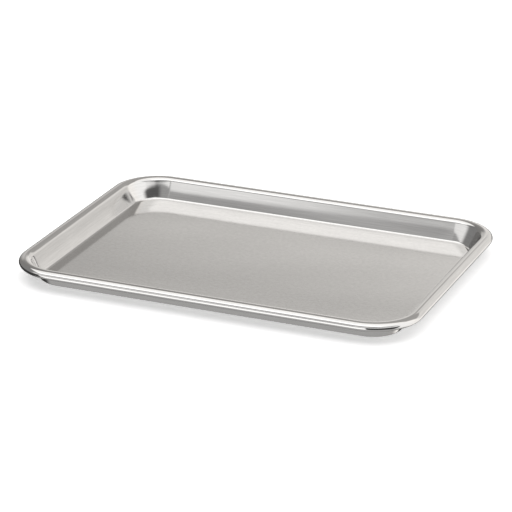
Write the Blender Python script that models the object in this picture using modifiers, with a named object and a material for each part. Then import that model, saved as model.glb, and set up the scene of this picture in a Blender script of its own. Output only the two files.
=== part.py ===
"""Shallow rectangular tray, pressed from one stainless sheet, its rim rolled over a steel wire.

The tray stands on the plane Z = 0 with its centre on the Z axis and its long sides along X.
It is two pieces: the pan, which is floor, walls and rolled rim in one sheet, and the wire
hoop inside the roll. Lengths are in metres and angles in radians.
"""

from math import atan, cos, pi, radians, sin, tan

import bmesh
import bpy

# Driving dimensions
LENGTH = 0.400
WIDTH = 0.300
HEIGHT = 0.021
CORNER_RADIUS = 0.048        # outline of the rim, seen from above
SHEET = 0.0008
FOOT_SLOPE = radians(61.0)   # between the wall and the floor, at the foot
TOP_SLOPE = radians(67.0)    # the same just under the rim, as the wall is slightly hollow
ROLL_HALF_WIDTH = 0.0062     # the rolled rim is an oval
ROLL_HALF_HEIGHT = 0.0042
FOOT_RADIUS = 0.0032         # inside of the bend between floor and wall
CURL_END = radians(-150.0)   # where the rolled edge stops, just short of the wall
WIRE_RADIUS = 0.0030

# How finely the round stretches are cut
CORNER_STEPS = 12
FOOT_STEPS = 4
WALL_STEPS = 4
ROLL_STEPS = 22
WIRE_BEVEL_RESOLUTION = 4
SHARP_EDGE = radians(40.0)

# The sheet's middle surface
ROLL_MID_WIDTH = ROLL_HALF_WIDTH - SHEET / 2
ROLL_MID_HEIGHT = ROLL_HALF_HEIGHT - SHEET / 2
FOOT_MID = FOOT_RADIUS + SHEET / 2
ROLL_CENTRE_HEIGHT = HEIGHT - ROLL_HALF_HEIGHT
ROLL_TANGENT = atan(ROLL_MID_WIDTH * tan(TOP_SLOPE) / ROLL_MID_HEIGHT)
ROLL_START = pi / 2 + ROLL_TANGENT

STAINLESS = (0.66, 0.65, 0.63)
STAINLESS_ROUGHNESS = 0.18
ZINC = (0.50, 0.51, 0.52)
ZINC_ROUGHNESS = 0.45


def clear_scene():
    """Removes every object, so that the scene holds only the tray."""
    for old in list(bpy.data.objects):
        bpy.data.objects.remove(old)


def make_collection(name):
    """A new collection in the scene."""
    collection = bpy.data.collections.new(name)
    bpy.context.scene.collection.children.link(collection)
    return collection


def make_metal(name, colour, roughness):
    """A bare metal of the given colour and roughness."""
    material = bpy.data.materials.new(name)
    material.use_nodes = True
    shader = material.node_tree.nodes["Principled BSDF"]
    shader.inputs["Base Color"].default_value = (*colour, 1.0)
    shader.inputs["Metallic"].default_value = 1.0
    shader.inputs["Roughness"].default_value = roughness
    return material


def make_polyline(name, points, closed):
    """A curve object that runs straight from each point to the next."""
    curve = bpy.data.curves.new(name, "CURVE")
    curve.dimensions = "3D"
    curve.twist_mode = "Z_UP"
    spline = curve.splines.new("POLY")
    spline.points.add(len(points) - 1)
    for point, place in zip(spline.points, points):
        point.co = (*place, 1.0)
    spline.use_cyclic_u = closed
    return bpy.data.objects.new(name, curve)


def make_outline(name, inset, height):
    """The rim's outline, moved inwards by the inset, as a closed curve at the given height."""
    radius = CORNER_RADIUS - inset
    centre_x = LENGTH / 2 - CORNER_RADIUS
    centre_y = WIDTH / 2 - CORNER_RADIUS
    points = []
    for corner, (side_x, side_y) in enumerate(((1, 1), (-1, 1), (-1, -1), (1, -1))):
        for step in range(CORNER_STEPS + 1):
            turn = (corner + step / CORNER_STEPS) * pi / 2
            x = side_x * centre_x + radius * cos(turn)
            y = side_y * centre_y + radius * sin(turn)
            points.append((x, y, height))
    return make_polyline(name, points, closed=True)


def wall_radius():
    """The hollow wall's own radius, from its height and its slopes at both ends."""
    top = ROLL_CENTRE_HEIGHT + ROLL_MID_HEIGHT * cos(ROLL_TANGENT)
    bottom = SHEET / 2 + FOOT_MID * (1 - cos(FOOT_SLOPE))
    return (top - bottom) / (cos(FOOT_SLOPE) - cos(TOP_SLOPE))


def foot_inset():
    """How far inside the rim's outline the flat floor ends, so that the wall meets both bends."""
    across_roll = ROLL_HALF_WIDTH + ROLL_MID_WIDTH * sin(ROLL_TANGENT)
    across_wall = wall_radius() * (sin(TOP_SLOPE) - sin(FOOT_SLOPE))
    return across_roll + across_wall + FOOT_MID * sin(FOOT_SLOPE)


def sheet_section():
    """The middle of the sheet as (inset, height) points, from the floor's edge to the curl's end.

    It is an arc at the foot, the wall's long hollow arc and the rim's oval, each tangent to the next.
    """
    points = []
    for step in range(FOOT_STEPS + 1):
        slope = FOOT_SLOPE * step / FOOT_STEPS
        inset = foot_inset() - FOOT_MID * sin(slope)
        points.append((inset, SHEET / 2 + FOOT_MID * (1 - cos(slope))))
    foot_end, wall_start = points[-1]
    for step in range(1, WALL_STEPS):
        slope = FOOT_SLOPE + (TOP_SLOPE - FOOT_SLOPE) * step / WALL_STEPS
        inset = foot_end - wall_radius() * (sin(slope) - sin(FOOT_SLOPE))
        points.append((inset, wall_start + wall_radius() * (cos(FOOT_SLOPE) - cos(slope))))
    for step in range(ROLL_STEPS + 1):
        turn = ROLL_START + (CURL_END - ROLL_START) * step / ROLL_STEPS
        inset = ROLL_HALF_WIDTH - ROLL_MID_WIDTH * cos(turn)
        points.append((inset, ROLL_CENTRE_HEIGHT + ROLL_MID_HEIGHT * sin(turn)))
    return points


def sweep_sheet():
    """A mesh of the sheet's middle surface: the section carried round the outline, and the floor."""
    outline = make_outline("outline", 0.0, 0.0)
    section = make_polyline("section", [(-inset, z, 0.0) for inset, z in sheet_section()], closed=False)
    for guide in (outline, section):
        bpy.context.scene.collection.objects.link(guide)
    outline.data.bevel_mode = "OBJECT"
    outline.data.bevel_object = section
    seen = outline.evaluated_get(bpy.context.evaluated_depsgraph_get())
    mesh = bpy.data.meshes.new_from_object(seen)
    for guide in (outline, section):
        bpy.data.objects.remove(guide)

    sheet = bmesh.new()
    sheet.from_mesh(mesh)
    floor_edges = [edge for edge in sheet.edges
                   if edge.is_boundary and all(vert.co.z < SHEET for vert in edge.verts)]
    bmesh.ops.contextual_create(sheet, geom=floor_edges)
    bmesh.ops.recalc_face_normals(sheet, faces=sheet.faces)
    sheet.to_mesh(mesh)
    sheet.free()
    return mesh


def build_pan(collection, metal):
    """Floor, walls and rolled rim in one sheet of even thickness."""
    mesh = sweep_sheet()
    mesh.name = "tray_pan"
    mesh.materials.clear()
    mesh.materials.append(metal)
    mesh.shade_smooth()
    mesh.set_sharp_from_angle(angle=SHARP_EDGE)
    pan = bpy.data.objects.new("tray_pan", mesh)
    collection.objects.link(pan)
    thickness = pan.modifiers.new("sheet thickness", "SOLIDIFY")
    thickness.thickness = SHEET
    thickness.offset = 0.0
    thickness.use_even_offset = True
    return pan


def build_wire(collection, metal):
    """The closed hoop of round wire inside the rolled rim."""
    wire = make_outline("rim_wire", ROLL_HALF_WIDTH, ROLL_CENTRE_HEIGHT)
    wire.data.bevel_depth = WIRE_RADIUS
    wire.data.bevel_resolution = WIRE_BEVEL_RESOLUTION
    wire.data.materials.append(metal)
    collection.objects.link(wire)
    return wire


def build_tray():
    """Both pieces of the tray, in a collection of its own."""
    clear_scene()
    collection = make_collection("developing_tray")
    build_pan(collection, make_metal("stainless_sheet", STAINLESS, STAINLESS_ROUGHNESS))
    build_wire(collection, make_metal("galvanised_wire", ZINC, ZINC_ROUGHNESS))


build_tray()
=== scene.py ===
"""Looks of a shallow stainless developing tray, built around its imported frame.

The tray is one pressed sheet, whose rim is rolled over a round wire. The pan is drawn again here as
one smooth closed surface, its section carried round the rounded outline, and the wire keeps its own
mesh. Both get their finishes, and a pale studio with soft light stands around them. Lengths are in
metres and angles in radians. The tray stands on Z = 0 with its long sides along X.
"""

import logging
from dataclasses import dataclass, field
from enum import Enum
from math import atan, cos, pi, radians, sin, tan
from typing import Sequence, Union

import bpy
import numpy as np
from mathutils import Matrix, Vector

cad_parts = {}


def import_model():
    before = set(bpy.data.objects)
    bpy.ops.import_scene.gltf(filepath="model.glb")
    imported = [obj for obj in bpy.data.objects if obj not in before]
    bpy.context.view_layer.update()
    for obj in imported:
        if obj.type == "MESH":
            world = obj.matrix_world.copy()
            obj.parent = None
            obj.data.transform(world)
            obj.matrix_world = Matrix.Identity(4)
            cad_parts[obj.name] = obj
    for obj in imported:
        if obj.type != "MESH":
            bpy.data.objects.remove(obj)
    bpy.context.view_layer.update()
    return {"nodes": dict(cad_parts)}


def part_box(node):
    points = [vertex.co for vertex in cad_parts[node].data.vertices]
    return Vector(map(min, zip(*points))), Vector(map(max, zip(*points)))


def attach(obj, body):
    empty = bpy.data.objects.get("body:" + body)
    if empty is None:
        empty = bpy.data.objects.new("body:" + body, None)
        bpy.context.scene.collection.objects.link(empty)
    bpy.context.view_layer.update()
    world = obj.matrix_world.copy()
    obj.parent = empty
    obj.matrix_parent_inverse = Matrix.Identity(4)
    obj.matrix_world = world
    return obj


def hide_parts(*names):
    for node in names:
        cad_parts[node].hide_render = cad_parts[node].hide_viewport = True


LOG = logging.getLogger("developing_tray")

# What a shader input takes: a number, or the output that carries it.
Level = Union[float, bpy.types.NodeSocket]


class Side(Enum):
    """Which face of the sheet a section follows."""

    INSIDE = 1
    UNDERSIDE = -1


@dataclass(frozen=True)
class Grain:
    """A noise: its grains a metre along three axes, its octaves and how strong the finer ones are."""

    counts: tuple[float, float, float]
    octaves: float = 3.0
    fineness: float = 0.6


# ---------------------------------------------------------------------------------------------
# Shader helpers
# ---------------------------------------------------------------------------------------------


@dataclass
class NodeGraph:
    """A material's or a world's node tree, with short calls that add and join nodes."""

    tree: bpy.types.NodeTree

    def add(self, kind: str, **settings: object) -> bpy.types.Node:
        """Adds a node and sets the named properties and inputs on it.

        Args:
            kind: the node's type name.
            settings: a property of the node, or an input by its name with spaces as underscores.

        Returns:
            The new node.
        """
        node = self.tree.nodes.new(kind)
        for name, value in settings.items():
            if hasattr(node, name):
                setattr(node, name, value)
            else:
                node.inputs[name.replace("_", " ")].default_value = value
        return node

    def join(self, source: bpy.types.NodeSocket, target: bpy.types.NodeSocket) -> None:
        """Links an output to an input."""
        self.tree.links.new(source, target)

    def feed(self, value: Level, target: bpy.types.NodeSocket) -> None:
        """Links an output to an input, or sets the input to a number."""
        if isinstance(value, bpy.types.NodeSocket):
            self.join(value, target)
        else:
            target.default_value = value

    def math(self, operation: str, first: Level, second: Level) -> bpy.types.NodeSocket:
        """One sum, product or other operation on two numbers or outputs.

        Args:
            operation: the Math node's operation.
            first: a number, or an output to link.
            second: a number, or an output to link.

        Returns:
            The output that carries the result.
        """
        node = self.add("ShaderNodeMath", operation=operation)
        self.feed(first, node.inputs[0])
        self.feed(second, node.inputs[1])
        return node.outputs["Value"]

    def spread(self, value: bpy.types.NodeSocket, low: float, high: float,
               to_low: float, to_high: float) -> bpy.types.NodeSocket:
        """A clamped map of a value from one range to another, eased at both ends.

        Args:
            value: the output to map.
            low: where the result starts to change.
            high: where it stops.
            to_low: the result at low and below.
            to_high: the result at high and above.

        Returns:
            The output that carries the result.
        """
        node = self.add("ShaderNodeMapRange", interpolation_type="SMOOTHSTEP", From_Min=low,
                        From_Max=high, To_Min=to_low, To_Max=to_high)
        self.join(value, node.inputs["Value"])
        return node.outputs["Result"]

    def noise(self, source: bpy.types.NodeSocket, grain: Grain) -> bpy.types.NodeSocket:
        """A noise over the given coordinates.

        Args:
            source: the coordinates, in metres.
            grain: the noise's kind.

        Returns:
            The noise's factor, about 0.5 on average.
        """
        place = self.add("ShaderNodeMapping", Scale=grain.counts)
        self.join(source, place.inputs["Vector"])
        node = self.add("ShaderNodeTexNoise", noise_dimensions="3D", Scale=1.0,
                        Detail=grain.octaves, Roughness=grain.fineness)
        self.join(place.outputs["Vector"], node.inputs["Vector"])
        return node.outputs["Fac"]

    def between(self, value: bpy.types.NodeSocket, low: float, high: float,
                soft: float) -> bpy.types.NodeSocket:
        """A mask that is 1 between two edges and 0 beyond them.

        Args:
            value: the output to look at.
            low: the lower edge.
            high: the upper edge.
            soft: how far each edge fades to either side of itself.

        Returns:
            The mask.
        """
        rises = self.spread(value, low - soft, low + soft, 0.0, 1.0)
        falls = self.spread(value, high - soft, high + soft, 1.0, 0.0)
        return self.math("MULTIPLY", rises, falls)

    def lay(self, under: Level, mask: Level, level: Level) -> bpy.types.NodeSocket:
        """Lays a level over what is under it, by a mask.

        Args:
            under: what shows where the mask is 0.
            mask: between 0 and 1.
            level: what shows where the mask is 1.

        Returns:
            The output that carries the result.
        """
        mix = self.add("ShaderNodeMix", data_type="FLOAT")
        self.feed(mask, mix.inputs["Factor"])
        self.feed(under, mix.inputs["A"])
        self.feed(level, mix.inputs["B"])
        return mix.outputs["Result"]


def tint_between(graph: NodeGraph, factor: bpy.types.NodeSocket,
                 first: Sequence[float], second: Sequence[float]) -> bpy.types.NodeSocket:
    """A colour between two, by a factor.

    Args:
        graph: the node tree to add it to.
        factor: the output that carries the factor.
        first: the colour where the factor is 0.
        second: the colour where the factor is 1.

    Returns:
        The output that carries the colour.
    """
    tint = graph.add("ShaderNodeMix", data_type="RGBA", A=(*first, 1.0), B=(*second, 1.0))
    graph.join(factor, tint.inputs["Factor"])
    return tint.outputs["Result"]


def new_material(name: str) -> tuple[bpy.types.Material, NodeGraph, bpy.types.Node]:
    """A material with one Principled shader.

    Args:
        name: the material's name.

    Returns:
        The material, its graph and its shader node.
    """
    material = bpy.data.materials.new(name)
    material.use_nodes = True
    graph = NodeGraph(material.node_tree)
    return material, graph, material.node_tree.nodes["Principled BSDF"]


# ---------------------------------------------------------------------------------------------
# Finishes
# ---------------------------------------------------------------------------------------------


@dataclass(frozen=True)
class PressedStainless:
    """Bright stainless sheet: a fine-grained floor, walls polished along their length, a bright rim.

    The axes of a grain are X, Y and Z, but those of the walls' grain are the way along the
    outline and the way up the section. The roughness is multiplied by its least share, plus what
    the grain and the clouds add to it.
    """

    name: str = "pressed_stainless"
    colour: tuple[float, float, float] = (0.665, 0.655, 0.643)
    colour_swing: float = 0.075
    floor_roughness: float = 0.09
    wall_roughness: float = 0.09
    rim_roughness: float = 0.07
    floor_top: float = 0.0015
    rim_low: float = 0.0158
    rim_blend: float = 0.002
    least_rough: float = 0.80
    grain_rough: float = 0.25
    cloud_rough: float = 0.15
    speckle_range: tuple[float, float] = (0.30, 0.70)
    streak_range: tuple[float, float] = (0.32, 0.68)
    cloud_share: float = 0.3
    bump_strength: float = 0.5
    bump_height: float = 0.000007
    floor_grain: Grain = Grain((260.0, 1500.0, 900.0))
    speckle: Grain = Grain((330.0, 700.0, 700.0), fineness=0.7)
    wall_grain: Grain = Grain((28.0, 900.0, 1.0), octaves=4.0, fineness=0.65)
    clouds: Grain = Grain((9.0, 13.0, 30.0), fineness=0.55)

    def make(self) -> bpy.types.Material:
        """Builds the finish.

        The roughness goes from the floor's to the wall's just above the floor, and to the rim's
        below the roll. Fine grain runs along the sheet's rolling direction, X, on the floor, and
        along the outline on the walls, and changes the roughness and the bump. The colour follows
        speckles on the floor and the grain on the walls. Broad clouds shift both.

        Returns:
            The material.
        """
        material, graph, shader = new_material(self.name)
        place = graph.add("ShaderNodeTexCoord")
        apart = graph.add("ShaderNodeSeparateXYZ")
        graph.join(place.outputs["Object"], apart.inputs["Vector"])
        height = apart.outputs["Z"]

        on_wall = graph.spread(height, self.floor_top, 2 * self.floor_top, 0.0, 1.0)
        on_rim = graph.spread(height, self.rim_low, self.rim_low + self.rim_blend, 0.0, 1.0)

        floor_grain = graph.noise(place.outputs["Object"], self.floor_grain)
        speckle = graph.noise(place.outputs["Object"], self.speckle)
        wall_grain = graph.noise(place.outputs["UV"], self.wall_grain)
        clouds = graph.noise(place.outputs["Object"], self.clouds)
        grain = graph.lay(floor_grain, on_wall, wall_grain)

        rough = graph.lay(self.floor_roughness, on_wall, self.wall_roughness)
        rough = graph.lay(rough, on_rim, self.rim_roughness)
        swing = graph.math("ADD", self.least_rough, graph.math("MULTIPLY", grain, self.grain_rough))
        swing = graph.math("ADD", swing, graph.math("MULTIPLY", clouds, self.cloud_rough))
        graph.join(graph.math("MULTIPLY", rough, swing), shader.inputs["Roughness"])

        streaks = graph.lay(graph.spread(speckle, *self.speckle_range, 0.0, 1.0), on_wall,
                            graph.spread(wall_grain, *self.streak_range, 0.0, 1.0))
        shade = graph.math("ADD", graph.math("MULTIPLY", streaks, 1 - self.cloud_share),
                           graph.math("MULTIPLY", clouds, self.cloud_share))
        darker = [part * (1 - self.colour_swing) for part in self.colour]
        lighter = [part * (1 + self.colour_swing) for part in self.colour]
        graph.join(tint_between(graph, shade, darker, lighter), shader.inputs["Base Color"])

        bump = graph.add("ShaderNodeBump", Strength=self.bump_strength, Distance=self.bump_height)
        graph.join(grain, bump.inputs["Height"])
        graph.join(bump.outputs["Normal"], shader.inputs["Normal"])
        shader.inputs["Metallic"].default_value = 1.0
        return material


@dataclass(frozen=True)
class GalvanisedWire:
    """Dull zinc on drawn steel wire, in cell-shaped crystals with a fine grain over them.

    The crystals are counted per metre.
    """

    name: str = "galvanised_steel"
    colour: tuple[float, float, float] = (0.50, 0.51, 0.52)
    darkest: float = 0.86
    lightest: float = 1.10
    roughness: float = 0.42
    roughness_swing: float = 0.2
    crystals: float = 450.0
    grain: Grain = Grain((1400.0, 1400.0, 1400.0))
    bump_strength: float = 0.4
    bump_height: float = 0.00004

    def make(self) -> bpy.types.Material:
        """Builds the finish: the crystals shift the colour, and the grain the roughness and bump.

        Returns:
            The material.
        """
        material, graph, shader = new_material(self.name)
        place = graph.add("ShaderNodeTexCoord")
        crystals = graph.add("ShaderNodeTexVoronoi", Scale=self.crystals)
        graph.join(place.outputs["Object"], crystals.inputs["Vector"])
        grain = graph.noise(place.outputs["Object"], self.grain)
        cell = graph.add("ShaderNodeSeparateColor")
        graph.join(crystals.outputs["Color"], cell.inputs["Color"])

        darker = [part * self.darkest for part in self.colour]
        lighter = [part * self.lightest for part in self.colour]
        graph.join(tint_between(graph, cell.outputs["Red"], darker, lighter),
                   shader.inputs["Base Color"])
        smoothest = self.roughness - self.roughness_swing / 2
        graph.join(graph.math("ADD", smoothest, graph.math("MULTIPLY", grain, self.roughness_swing)),
                   shader.inputs["Roughness"])
        bump = graph.add("ShaderNodeBump", Strength=self.bump_strength, Distance=self.bump_height)
        graph.join(grain, bump.inputs["Height"])
        graph.join(bump.outputs["Normal"], shader.inputs["Normal"])
        shader.inputs["Metallic"].default_value = 1.0
        return material


@dataclass(frozen=True)
class PaleTable:
    """The matt white board that the tray stands on."""

    name: str = "pale_table"
    colour: tuple[float, float, float] = (0.92, 0.92, 0.92)
    roughness: float = 0.9
    # Painted glow: the board gives off light of its own, which lightens the tray's shadows on it.
    glow: float = 0.40

    def make(self) -> bpy.types.Material:
        """Builds the finish, a matt white with a faint painted glow of its own, which lightens the
        board and the tray's shadows on it.

        Returns:
            The material.
        """
        material, _, shader = new_material(self.name)
        shader.inputs["Base Color"].default_value = (*self.colour, 1.0)
        shader.inputs["Roughness"].default_value = self.roughness
        shader.inputs["Emission Color"].default_value = (1.0, 1.0, 1.0, 1.0)
        # Painted glow on a board that is no lamp, lightening the shadows on it.
        shader.inputs["Emission Strength"].default_value = self.glow
        return material


# ---------------------------------------------------------------------------------------------
# Surfaces
# ---------------------------------------------------------------------------------------------


def oval_arc(centre: Sequence[float], radii: tuple[float, float], start: float, end: float,
             steps: int, away: float = 0.0) -> np.ndarray:
    """Points on an oval, moved along its outward normals.

    The oval is centre + (a cos t, b sin t), with t going evenly from start to end. Its outward
    normal there is (b cos t, a sin t) over its length.

    Args:
        centre: the oval's centre.
        radii: its half width a and its half height b.
        start: the first t.
        end: the last t.
        steps: how many equal steps lie between them.
        away: how far each point moves along its normal.

    Returns:
        An array of steps + 1 points.
    """
    turn = np.linspace(start, end, steps + 1)
    way = np.stack([np.cos(turn), np.sin(turn)], axis=1)
    normal = way * radii[::-1]
    normal /= np.linalg.norm(normal, axis=1, keepdims=True)
    return np.asarray(centre) + way * radii + away * normal


def mesh_from_grid(name: str, points: np.ndarray, uv: np.ndarray) -> bpy.types.Mesh:
    """A closed mesh from rows of points that each run once round, with its two end rows at poles.

    Face (i, j) joins the points (i, j), (i, j+1), (i+1, j+1) and (i+1, j), with j taken round. The
    first and the last row each shrink to one point, so their faces are triangles.

    Args:
        name: the mesh's name.
        points: rows x columns x 3 places, where the first and last rows are each one place.
        uv: rows x (columns + 1) x 2 coordinates, whose last column ends the way round.

    Returns:
        The mesh, smooth shaded, with the coordinates in a UV map.
    """
    rows, columns = points.shape[:2]
    inner = points[1:-1].reshape(-1, 3)
    places = np.concatenate([points[:1, 0], inner, points[-1:, 0]])
    column = np.arange(columns)
    after = (column + 1) % columns

    band = np.arange(rows - 3)[:, None] * columns + 1
    quads = np.stack([band + column, band + after, band + columns + after,
                      band + columns + column], axis=-1).reshape(-1, 4)
    last_ring = 1 + (rows - 3) * columns
    first_fan = np.stack([np.zeros_like(column), 1 + after, 1 + column], axis=-1)
    last_fan = np.stack([np.full_like(column, len(places) - 1), last_ring + column,
                         last_ring + after], axis=-1)
    # Each quad above runs (i, j), (i, j+1), ..., and each fan is turned to match it.
    faces = quads.tolist() + first_fan.tolist() + last_fan.tolist()

    mesh = bpy.data.meshes.new(name)
    mesh.from_pydata(places.tolist(), [], faces)
    row = np.arange(1, rows - 2)[:, None]
    quad_uv = np.stack([uv[row, column], uv[row, column + 1], uv[row + 1, column + 1],
                        uv[row + 1, column]], axis=2).reshape(-1, 2)
    first_uv = np.stack([uv[0, column], uv[1, column + 1], uv[1, column]], axis=1).reshape(-1, 2)
    last_uv = np.stack([uv[-1, column], uv[-2, column], uv[-2, column + 1]], axis=1).reshape(-1, 2)
    layer = mesh.uv_layers.new(name="UVMap")
    layer.data.foreach_set("uv", np.concatenate([quad_uv, first_uv, last_uv]).ravel())
    mesh.validate()
    mesh.shade_smooth()
    return mesh


def outward_volume(points: np.ndarray) -> float:
    """Six times the volume that a grid of rows encloses, positive where its faces look out.

    The sum over the faces of the product of each face's first corner with the cross product of
    its two diagonals, which is the divergence theorem for quads.

    Args:
        points: rows x columns x 3 places, each row once round.

    Returns:
        The signed sum.
    """
    a = points[:-1]
    b = np.roll(a, -1, axis=1)
    d = points[1:]
    c = np.roll(d, -1, axis=1)
    return float(np.sum(a * np.cross(c - a, d - b)))


# ---------------------------------------------------------------------------------------------
# The tray
# ---------------------------------------------------------------------------------------------


@dataclass
class TrayPan:
    """The pressed pan: floor, walls and rolled rim in one sheet of even thickness.

    The slopes are from the floor. The dish is how far the floor rises before it meets the wall,
    and the unevenness is the height of the waves, which end at a share of the pan's height.
    """

    finish: PressedStainless
    corner_radius: float = 0.048
    sheet: float = 0.0008
    foot_slope: float = radians(61.0)
    top_slope: float = radians(67.0)
    roll_half_width: float = 0.0062
    roll_half_height: float = 0.0042
    foot_radius: float = 0.0032
    curl_end: float = radians(-150.0)
    dish: float = 0.00035
    dish_reach: float = 0.040
    unevenness: float = 0.00002
    fade_height: float = 0.5
    floor_rings: int = 26
    foot_steps: int = 14
    wall_steps: int = 8
    roll_steps: int = 72
    edge_steps: int = 6
    corner_steps: int = 28
    side_steps: int = 22
    end_steps: int = 16

    low: Vector = field(init=False)
    high: Vector = field(init=False)

    def __post_init__(self) -> None:
        """Takes the pan's box from the frame."""
        self.low, self.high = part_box("tray_pan")

    def roll(self) -> tuple[tuple[float, float], tuple[float, float], float]:
        """The middle of the sheet in the rolled rim, as an oval.

        Returns:
            The oval's centre, its half width and half height, and the t where the wall meets it.
        """
        centre = (-self.roll_half_width, self.high.z - self.roll_half_height)
        radii = (self.roll_half_width - self.sheet / 2, self.roll_half_height - self.sheet / 2)
        return centre, radii, pi / 2 + atan(radii[0] * tan(self.top_slope) / radii[1])

    def wall_radius(self) -> float:
        """The wall's own radius: its height over the difference of its two slopes' cosines."""
        centre, radii, meeting = self.roll()
        foot = self.foot_radius + self.sheet / 2
        top = centre[1] + radii[1] * sin(meeting)
        low = self.sheet / 2 + foot * (1 - cos(self.foot_slope))
        return (top - low) / (cos(self.foot_slope) - cos(self.top_slope))

    def foot_inset(self) -> float:
        """How far inside the outline the flat floor ends, so that the wall meets both bends.

        Each arc reaches across by its radius times the difference of the sines of its slopes.
        """
        centre, radii, meeting = self.roll()
        foot = self.foot_radius + self.sheet / 2
        across_wall = self.wall_radius() * (sin(self.top_slope) - sin(self.foot_slope))
        return foot * sin(self.foot_slope) + across_wall - centre[0] - radii[0] * cos(meeting)

    def section(self, side: Side) -> np.ndarray:
        """The sheet's section on one face, from the floor's edge to the end of the curl.

        An arc at the foot, a slightly hollow wall and the rim's oval, each tangent to the next.
        The inside face runs round the outside of the roll.

        Args:
            side: which face of the sheet.

        Returns:
            Points as (inset from the outline, height).
        """
        half = side.value * self.sheet / 2
        foot = self.foot_radius + self.sheet / 2
        wall = self.wall_radius()
        foot_centre = np.array([-self.foot_inset(), self.sheet / 2 + foot])
        wall_centre = foot_centre + (wall - foot) * np.array([-sin(self.foot_slope),
                                                              cos(self.foot_slope)])
        foot_end, wall_end = self.foot_slope - pi / 2, self.top_slope - pi / 2
        centre, radii, meeting = self.roll()
        lower = oval_arc(foot_centre, (foot, foot), -pi / 2, foot_end, self.foot_steps, -half)
        middle = oval_arc(wall_centre, (wall, wall), foot_end, wall_end, self.wall_steps, -half)
        upper = oval_arc(centre, radii, meeting, self.curl_end, self.roll_steps, half)
        across = np.concatenate([lower, middle[1:-1], upper])
        across[:, 0] *= -1
        return across

    def curl_edge(self) -> np.ndarray:
        """The sheet's rounded edge at the end of the curl, a half circle from face to face."""
        centre, radii, _ = self.roll()
        end = oval_arc(centre, radii, self.curl_end, self.curl_end, 0)[0]
        outer = oval_arc(centre, radii, self.curl_end, self.curl_end, 0, 1.0)[0] - end
        facing = np.arctan2(outer[1], outer[0])
        around = oval_arc(end, (self.sheet / 2,) * 2, facing, facing - pi, self.edge_steps)
        around[:, 0] *= -1
        return around[1:-1]

    def outline(self) -> tuple[np.ndarray, np.ndarray, np.ndarray]:
        """The rim's outline as places, outward normals and the way along it.

        Each corner is a quarter circle, normal (cos t, sin t), and each side is straight.

        Returns:
            Places (n x 2), normals (n x 2), and the distance along (n + 1).
        """
        centre = np.array([self.high.x - self.corner_radius, self.high.y - self.corner_radius])
        places, normals = [], []
        corners = ((1, 1), (-1, 1), (-1, -1), (1, -1))
        for index, signs in enumerate(corners):
            turn = (index + np.linspace(0.0, 1.0, self.corner_steps + 1)) * pi / 2
            normal = np.stack([np.cos(turn), np.sin(turn)], axis=1)
            corner = centre * signs + self.corner_radius * normal
            after = centre * corners[(index + 1) % 4] + self.corner_radius * normal[-1]
            steps = self.side_steps if index % 2 == 0 else self.end_steps
            share = np.linspace(0.0, 1.0, steps + 1)[1:-1, None]
            places += [corner, corner[-1] + (after - corner[-1]) * share]
            normals += [normal, np.repeat(normal[-1:], steps - 1, axis=0)]
        place, normal = np.concatenate(places), np.concatenate(normals)
        step = np.linalg.norm(np.roll(place, -1, axis=0) - place, axis=1)
        return place, normal, np.concatenate([[0.0], np.cumsum(step)])

    def press(self, x: np.ndarray, y: np.ndarray, z: np.ndarray) -> np.ndarray:
        """The pressing's own shape, as a height added to the sheet.

        The floor rises over the last stretch before the wall, by the square of the way into it.
        Long shallow waves run over the whole sheet: a product of two sines and two slanting ones.
        Both fade out up the wall, so that the rim stays level.

        Args:
            x: places along the tray.
            y: places across it.
            z: heights.

        Returns:
            The heights to add.
        """
        flat_x, flat_y = self.high.x - self.foot_inset(), self.high.y - self.foot_inset()
        radius = self.corner_radius - self.foot_inset()
        over_x = np.maximum(np.abs(x) - (flat_x - radius - self.dish_reach), 0.0)
        over_y = np.maximum(np.abs(y) - (flat_y - radius - self.dish_reach), 0.0)
        into = np.hypot(over_x, over_y) / (radius + self.dish_reach)
        rise = self.dish * np.clip(into, 0.0, 1.0) ** 2
        fade = np.clip(1.0 - z / (self.fade_height * self.high.z), 0.0, 1.0)
        waves = (np.sin(41.0 * x + 0.6) * np.sin(33.0 * y + 1.1)
                 + 0.6 * np.sin(67.0 * x + 23.0 * y) + 0.5 * np.sin(-29.0 * x + 71.0 * y + 2.0))
        return fade * (rise + self.unevenness * waves)

    def rows(self) -> tuple[np.ndarray, np.ndarray, np.ndarray]:
        """The whole section from the pole under the floor, round the curl, to the pole on top.

        Returns:
            For each row its inset, its height, and its size as a share of the ring at that inset.
        """
        shares = np.sin(np.linspace(0.0, pi / 2, self.floor_rings + 1))[:-1]
        under, inside = self.section(Side.UNDERSIDE), self.section(Side.INSIDE)
        edge = self.curl_edge()[::-1]
        bent = np.concatenate([under, edge, inside[::-1]])
        inset = np.concatenate([np.full_like(shares, under[0, 0]), bent[:, 0],
                                np.full_like(shares, inside[0, 0])])
        height = np.concatenate([np.zeros_like(shares), bent[:, 1],
                                 np.full_like(shares, self.sheet)])
        share = np.concatenate([shares, np.ones(len(bent)), shares[::-1]])
        return inset, height, share

    def build(self) -> bpy.types.Object:
        """Carries the section round the outline: place = share * (outline - inset * normal).

        Returns:
            The pan, riding on the frame in place of the plain one.
        """
        place, normal, along = self.outline()
        inset, height, share = self.rows()
        flat = share[:, None, None] * (place[None] - inset[:, None, None] * normal[None])
        z = np.repeat(height[:, None], len(place), axis=1)
        x, y = flat[..., 0], flat[..., 1]
        z = z + self.press(x, y, z)
        points = np.stack([x, y, z], axis=-1)
        points[0] = points[0].mean(axis=0)
        points[-1] = points[-1].mean(axis=0)

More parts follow.
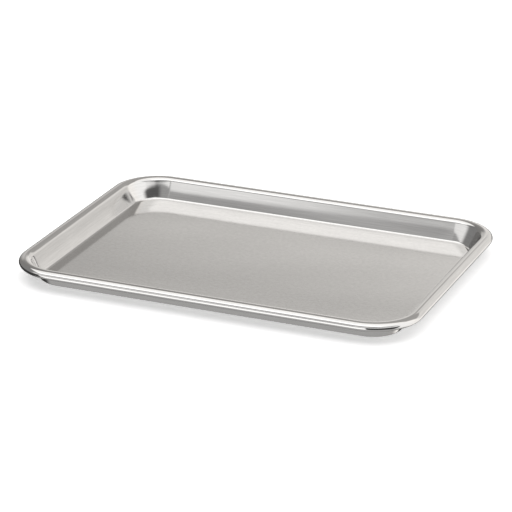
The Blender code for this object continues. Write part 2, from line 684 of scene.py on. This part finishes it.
        step = np.hypot(np.diff(inset + (1 - share) * self.high.y), np.diff(height))
        down = np.concatenate([[0.0], np.cumsum(step)])
        uv = np.stack(np.meshgrid(along, down), axis=-1)
        if outward_volume(points) < 0:
            points, uv = points[::-1], uv[::-1]
        mesh = mesh_from_grid("pressed_pan", points, uv)
        mesh.materials.append(self.finish.make())
        pan = bpy.data.objects.new("pressed_pan", mesh)
        bpy.context.scene.collection.objects.link(pan)
        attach(pan, "root")
        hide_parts("tray_pan")
        LOG.info("pressed_pan: %d rows of %d points", *points.shape[:2])
        return pan


@dataclass
class RimWire:
    """The closed wire hoop inside the rolled rim, which keeps the frame's own mesh."""

    finish: GalvanisedWire

    def dress(self, nodes: dict[str, bpy.types.Object]) -> bpy.types.Object:
        """Gives the wire its finish.

        Args:
            nodes: the frame's nodes by name.

        Returns:
            The wire.
        """
        wire = nodes["rim_wire"]
        wire.material_slots[0].material = self.finish.make()
        LOG.info("rim_wire: dressed")
        return wire


# ---------------------------------------------------------------------------------------------
# The studio
# ---------------------------------------------------------------------------------------------


@dataclass(frozen=True)
class RoomPanel:
    """A stretch of the room that glows evenly, bounded by bearings and lifts in degrees.

    The bearing is counted from the front, positive to the right; the lift is counted from the
    horizon upwards.
    """

    level: float
    bearings: tuple[float, float] = (-200.0, 200.0)
    lifts: tuple[float, float] = (-100.0, 100.0)
    softness: float = 3.0
    lift_softness: float = 1.0


@dataclass(frozen=True)
class Overhead:
    """A rectangle of light over the tray, on a plane at unit height, brighter towards the front.

    Its places on that plane are the direction's X and Y over its Z, and it shows from a low Z
    upwards.
    """

    front_level: float
    back_level: float
    across: tuple[float, float]
    deep: tuple[float, float]
    fade: tuple[float, float] = (-0.25, 0.0)
    across_softness: float = 0.08
    deep_softness: float = 0.03
    least_height: float = 0.05
    shows_above: tuple[float, float] = (0.2, 0.4)


@dataclass
class Studio:
    """A white table, a room of soft light panels and the camera.

    The camera stands round from the tray's front to its right by the azimuth, and its distance
    is from the middle of the tray's base. The back of the room goes from its level low down to
    its level high up between two lifts, and its edges are in the unit direction's Y and X.
    """

    table: PaleTable = field(default_factory=PaleTable)
    azimuth: float = radians(21.85)
    elevation: float = radians(21.26)
    roll: float = radians(0.63)
    distance: float = 2.513
    lens_mm: float = 183.73
    sensor_mm: float = 36.0
    shift: tuple[float, float] = (-0.00566, 0.01641)
    far: float = 50.0
    table_reach: float = 3.0
    table_gap: float = 0.0001
    dim_room: float = 0.85
    back_low: float = 1.05
    back_high: float = 0.48
    back_lifts: tuple[float, float] = (18.5, 24.5)
    back_edge: tuple[float, float] = (0.10, 0.60)
    back_left: float = 0.66
    back_left_edge: tuple[float, float] = (-0.47, -0.25)
    back_tint: tuple[float, float, float] = (1.0, 0.98, 0.955)
    panels: tuple[RoomPanel, ...] = (
        # Straight behind and at the back right, bright low down, with a dim stretch above.
        RoomPanel(0.92, bearings=(-190.0, -169.0), lifts=(8.0, 29.0), softness=4.0),
        RoomPanel(0.98, bearings=(142.0, 190.0), lifts=(8.0, 29.5), softness=6.0),
        RoomPanel(0.50, bearings=(142.0, 190.0), lifts=(29.5, 50.0), softness=6.0),
        RoomPanel(0.84, bearings=(135.0, 190.0), lifts=(-10.0, 8.0), softness=5.0,
                  lift_softness=3.0),
        # The right side.
        RoomPanel(1.3, bearings=(62.0, 138.0), softness=6.0),
        # In front: a bright panel at the left, a dimmer strip and a bright panel at the right.
        RoomPanel(1.1, bearings=(-75.0, -20.5), softness=2.5),
        RoomPanel(0.60, bearings=(-20.5, -17.0), softness=2.0),
        RoomPanel(1.20, bearings=(-17.0, 62.0), softness=2.0),
        # The dim left side.
        RoomPanel(0.28, bearings=(-138.0, -66.0), softness=9.0),
        # The dim stretch above the front panels.
        RoomPanel(0.45, bearings=(-75.0, -22.0), lifts=(30.0, 100.0)),
        RoomPanel(0.42, bearings=(-22.0, 34.0), lifts=(28.0, 100.0), softness=5.0),
        RoomPanel(0.12, bearings=(16.0, 80.0), lifts=(29.0, 41.5), softness=12.0,
                  lift_softness=2.0),
        # The horizon in front, black at the right.
        RoomPanel(0.30, bearings=(-80.0, 8.0), lifts=(-100.0, 11.0), lift_softness=2.0),
        RoomPanel(0.05, bearings=(6.0, 80.0), lifts=(-100.0, 10.5), softness=2.0),
    )
    overhead: Overhead = Overhead(front_level=1.75, back_level=1.38, across=(-1.0, 0.5),
                                  deep=(-0.70, 0.60))
    low_panels: tuple[RoomPanel, ...] = (
        # What lies below: a dark room, white boards at the front left and at the right, and the
        # tray's own shade close by.
        RoomPanel(1.6, bearings=(-46.0, 6.0), softness=2.0),
        RoomPanel(1.3, bearings=(80.0, 166.0), softness=2.0),
        RoomPanel(0.50, lifts=(-100.0, -50.0), lift_softness=6.0),
    )
    under_table: float = 0.06
    horizon_softness: float = 0.01

    def add_table(self) -> bpy.types.Object:
        """A wide pale board under the tray."""
        mesh = bpy.data.meshes.new("table")
        reach = self.table_reach
        mesh.from_pydata([(-reach, -reach, 0.0), (reach, -reach, 0.0), (reach, reach, 0.0),
                          (-reach, reach, 0.0)], [], [(0, 1, 2, 3)])
        mesh.materials.append(self.table.make())
        board = bpy.data.objects.new("table", mesh)
        board.location.z = -self.table_gap
        board.visible_glossy = False
        bpy.context.scene.collection.objects.link(board)
        return board

    def light_room(self) -> None:
        """The room's light by direction: panels overhead, in front, at both sides and behind.

        The bearing is counted from the front, positive to the right, and the lift from the
        horizon, both in degrees.
        """
        world = bpy.data.worlds.new("room")
        world.use_nodes = True
        bpy.context.scene.world = world
        graph = NodeGraph(world.node_tree)
        background = world.node_tree.nodes["Background"]
        place = graph.add("ShaderNodeTexCoord")
        apart = graph.add("ShaderNodeSeparateXYZ")
        graph.join(place.outputs["Generated"], apart.inputs["Vector"])
        x, y, z = (apart.outputs[axis] for axis in "XYZ")
        front = graph.math("MULTIPLY", y, -1.0)
        bearing = graph.math("MULTIPLY", graph.math("ARCTAN2", x, front), 180.0 / pi)
        lift = graph.math("MULTIPLY", graph.math("ARCSINE", z, 0.0), 180.0 / pi)

        # The back of the room is bright low down, and dimmer upwards and to the left.
        back = graph.spread(lift, *self.back_lifts, self.back_low, self.back_high)
        leftwards = graph.spread(x, *self.back_left_edge, self.back_left, 1.0)
        at_back = graph.spread(y, *self.back_edge, 0.0, 1.0)
        room = graph.lay(self.dim_room, at_back, graph.math("MULTIPLY", back, leftwards))
        graph.join(tint_between(graph, at_back, (1.0, 1.0, 1.0), self.back_tint),
                   background.inputs["Color"])
        room = self.lay_panels(graph, room, self.panels, bearing, lift)

        top = self.overhead
        height = graph.math("MAXIMUM", z, top.least_height)
        over_x, over_y = (graph.math("DIVIDE", along, height) for along in (x, y))
        mask = graph.math("MULTIPLY", graph.between(over_x, *top.across, top.across_softness),
                          graph.between(over_y, *top.deep, top.deep_softness))
        mask = graph.math("MULTIPLY", mask, graph.spread(z, *top.shows_above, 0.0, 1.0))
        room = graph.lay(room, mask, graph.spread(over_y, *top.fade, top.front_level, top.back_level))

        low = self.lay_panels(graph, self.under_table, self.low_panels, bearing, lift)
        soft = self.horizon_softness
        room = graph.lay(room, graph.spread(z, -soft, soft, 1.0, 0.0), low)
        graph.join(room, background.inputs["Strength"])

    @staticmethod
    def lay_panels(graph: NodeGraph, room: Level, panels: Sequence[RoomPanel],
                   bearing: bpy.types.NodeSocket, lift: bpy.types.NodeSocket) -> Level:
        """Lays panels over the room, each over the ones before it.

        Args:
            graph: the world's graph.
            room: the room's light without them.
            panels: the panels.
            bearing: the direction's bearing in degrees.
            lift: the direction's lift in degrees.

        Returns:
            The room's light with them.
        """
        for panel in panels:
            mask = graph.math("MULTIPLY", graph.between(bearing, *panel.bearings, panel.softness),
                              graph.between(lift, *panel.lifts, panel.lift_softness))
            room = graph.lay(room, mask, panel.level)
        return room

    def add_camera(self) -> bpy.types.Object:
        """The camera, looking down at the middle of the tray's base from its front right."""
        across = Vector((cos(self.azimuth), sin(self.azimuth), 0.0))
        level = Vector((-sin(self.azimuth), cos(self.azimuth), 0.0))
        forward = level * cos(self.elevation) - Vector((0.0, 0.0, sin(self.elevation)))
        upward = across.cross(forward)
        right = across * cos(self.roll) + upward * sin(self.roll)
        up = upward * cos(self.roll) - across * sin(self.roll)
        data = bpy.data.cameras.new("camera")
        data.sensor_width = self.sensor_mm
        data.lens = self.lens_mm
        data.shift_x, data.shift_y = self.shift
        data.clip_end = self.far
        camera = bpy.data.objects.new("camera", data)
        turn = Matrix((right, up, -forward)).transposed()
        camera.matrix_world = Matrix.Translation(-forward * self.distance) @ turn.to_4x4()
        bpy.context.scene.collection.objects.link(camera)
        bpy.context.scene.camera = camera
        return camera

    def build(self) -> None:
        """Builds the whole studio, with true tones: white is white."""
        bpy.context.scene.view_settings.view_transform = "Standard"
        self.add_camera()
        self.add_table()
        self.light_room()
        LOG.info("studio: %d room panels and one overhead", len(self.panels + self.low_panels))


def main() -> None:
    """Loads the frame, builds the studio and both pieces, and logs what it built."""
    logging.basicConfig(level=logging.INFO, format="%(name)s %(message)s")
    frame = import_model()
    Studio().build()
    TrayPan(PressedStainless()).build()
    RimWire(GalvanisedWire()).dress(frame["nodes"])


if __name__ == "__main__":
    main()
